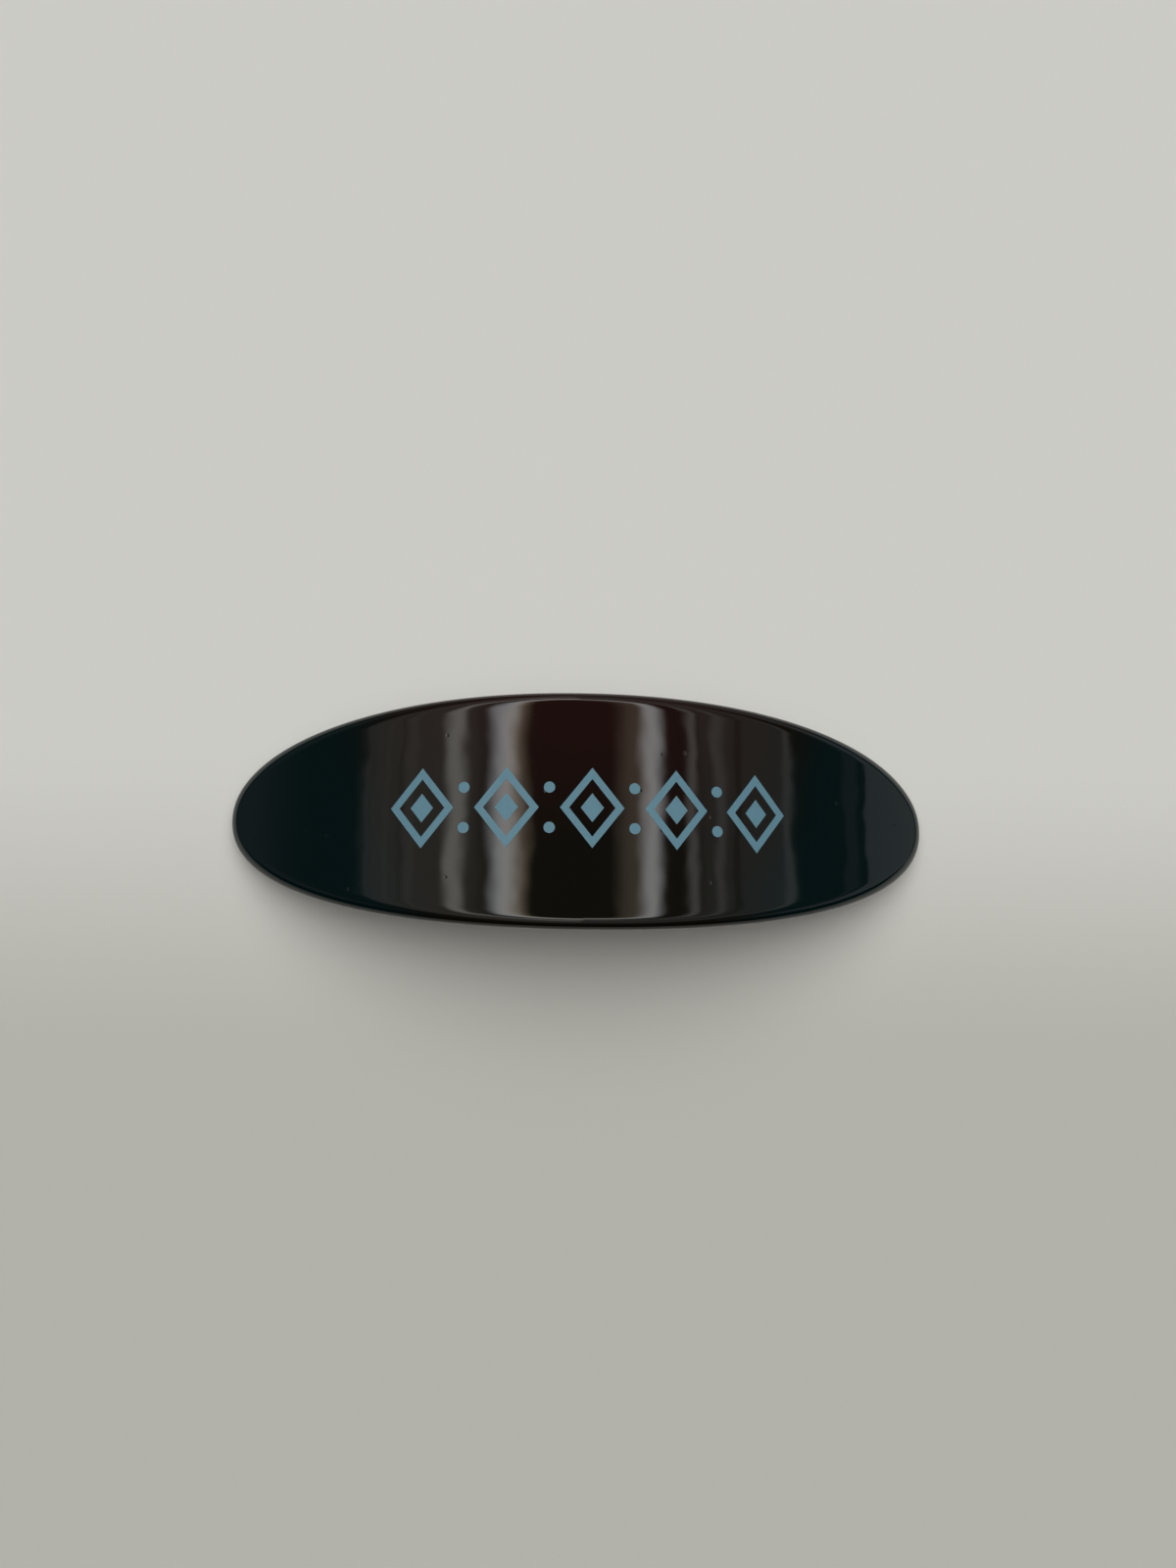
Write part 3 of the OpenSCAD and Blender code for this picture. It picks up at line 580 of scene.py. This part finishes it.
# Screen-printed vinyl ink under the same polish
def makeInk():
    material, tree, shader = startMaterial("screenPrintInk")
    shader.inputs["Base Color"].default_value = linear(printInk["colour"])
    shader.inputs["Roughness"].default_value = printInk["roughness"]
    shader.inputs["IOR"].default_value = printInk["ior"]
    return material


bend = makeBend()
makePiece("acetateCover", makeSheetTree(bend, makeAcetate()), cover, "cover_plate")
printed = {**cover, **film}
makePiece("printedRow", makeFilmTree(bend, makeInk()), printed, "printed_motif")

# Metals: colour, roughness, and the size and depth of the grain along X, Y and Z
metals = {
    "nickelPlatedSteel": {
        "colour": "#c9c5bb",
        "roughness": 0.22,
        "grain": (1.2 * mm, 0.6 * mm, 1.2 * mm),
        "depth": 0.0001 * mm,
    },
    "satinSpringSteel": {
        "colour": "#b4b3b0",
        "roughness": 0.33,
        "grain": (6 * mm, 0.12 * mm, 2 * mm),
        "depth": 0.0003 * mm,
    },
    "drawnSteelWire": {
        "colour": "#bcb9b2",
        "roughness": 0.2,
        "grain": (0.3 * mm, 1.6 * mm, 0.3 * mm),
        "depth": 0.0004 * mm,
    },
    "turnedBrass": {
        "colour": "#c7a257",
        "roughness": 0.27,
        "grain": (0.5 * mm, 0.5 * mm, 0.08 * mm),
        "depth": 0.0005 * mm,
    },
}
roughSpread = (-0.05, 0.08)  # how far the grain takes the roughness down and up
grainRange = (0.3, 0.7)  # part of the noise over which it does
softening = {
    "weld": 0.001 * mm,  # points nearer than this become one
    "segments": 2,
    "sharp": 32.0,  # degrees between two faces, from which their edge is rounded
}
hardware = {
    "clasp_base": {
        "body": "cover",
        "slot": "nickel_steel",
        "metal": "nickelPlatedSteel",
        "soften": 0.08 * mm,
    },
    "locking_arm": {
        "body": "locking_arm",
        "slot": "nickel_steel",
        "metal": "nickelPlatedSteel",
        "soften": 0.08 * mm,
    },
    "tension_bar": {
        "body": "tension_bar",
        "slot": "spring_steel",
        "metal": "satinSpringSteel",
        "soften": 0.06 * mm,
    },
    "latch_bridge": {
        "body": "cover",
        "slot": "spring_steel",
        "metal": "satinSpringSteel",
        "soften": 0.06 * mm,
    },
    "latch_wing_front": {
        "body": "latch_wing_front",
        "slot": "spring_steel",
        "metal": "satinSpringSteel",
        "soften": 0.06 * mm,
    },
    "latch_wing_back": {
        "body": "latch_wing_back",
        "slot": "spring_steel",
        "metal": "satinSpringSteel",
        "soften": 0.06 * mm,
    },
    "hinge_pin": {
        "body": "cover",
        "slot": "pin_steel",
        "metal": "drawnSteelWire",
        "soften": 0.06 * mm,
    },
    "latch_rivet": {
        "body": "cover",
        "slot": "pin_steel",
        "metal": "drawnSteelWire",
        "soften": 0.05 * mm,
    },
    "mounting_pin_left": {
        "body": "cover",
        "slot": "brass_pin",
        "metal": "turnedBrass",
        "soften": 0.06 * mm,
    },
    "mounting_pin_right": {
        "body": "cover",
        "slot": "brass_pin",
        "metal": "turnedBrass",
        "soften": 0.06 * mm,
    },
}


# Bare or plated metal: clean reflections that the grain blurs a little, more along it than across
def makeMetal(name):
    finish = metals[name]
    material, tree, shader = startMaterial(name)
    place = addNode(tree, "ShaderNodeTexCoord").outputs["Object"]
    scale = [1 / size for size in finish["grain"]]
    stretch = addNode(tree, "ShaderNodeMapping", place, Scale=scale)
    grain = addNode(tree, "ShaderNodeTexNoise", stretch, Scale=1.0, Detail=3.0, Roughness=0.6)
    rough = [finish["roughness"] + change for change in roughSpread]
    rough = addNode(tree, "ShaderNodeMapRange", grain, *grainRange, *rough)
    height = addNode(tree, "ShaderNodeMath", grain, finish["depth"], operation="MULTIPLY")
    bump = addNode(tree, "ShaderNodeBump", Distance=1.0, Height=height)
    tree.links.new(rough.outputs[0], shader.inputs["Roughness"])
    tree.links.new(bump.outputs[0], shader.inputs["Normal"])
    shader.inputs["Base Color"].default_value = linear(finish["colour"])
    shader.inputs["Metallic"].default_value = 1.0
    return material


# A copy of a CAD part with the sharp edges that tumbling takes off
def makeHardware(node, facts, material):
    start, *others = node.split("_")
    name = start + "".join(word.capitalize() for word in others)
    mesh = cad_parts[node].data.copy()
    shape = bmesh.new()
    shape.from_mesh(mesh)
    bmesh.ops.remove_doubles(shape, verts=shape.verts, dist=softening["weld"])
    shape.to_mesh(mesh)
    shape.free()
    rough = bpy.data.objects.new(name + "Rough", mesh)
    bpy.context.collection.objects.link(rough)
    mesh.polygons.foreach_set("use_smooth", [True] * len(mesh.polygons))
    edge = rough.modifiers.new("soften", "BEVEL")
    edge.width = facts["soften"]
    edge.segments = softening["segments"]
    edge.limit_method = "ANGLE"
    edge.angle_limit = radians(softening["sharp"])
    rough.modifiers.new("even", "WEIGHTED_NORMAL").keep_sharp = True
    graph = bpy.context.evaluated_depsgraph_get()
    mesh = bpy.data.meshes.new_from_object(rough.evaluated_get(graph), depsgraph=graph)
    bpy.data.objects.remove(rough)
    mesh.name = name
    mesh.materials.clear()
    mesh.materials.append(material)
    piece = bpy.data.objects.new(name, mesh)
    bpy.context.collection.objects.link(piece)
    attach(piece, facts["body"])
    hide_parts(node)
    print(name, len(mesh.polygons), "faces")


finishes = {name: makeMetal(name) for name in metals}
for node, facts in hardware.items():
    makeHardware(node, facts, finishes[facts["metal"]])
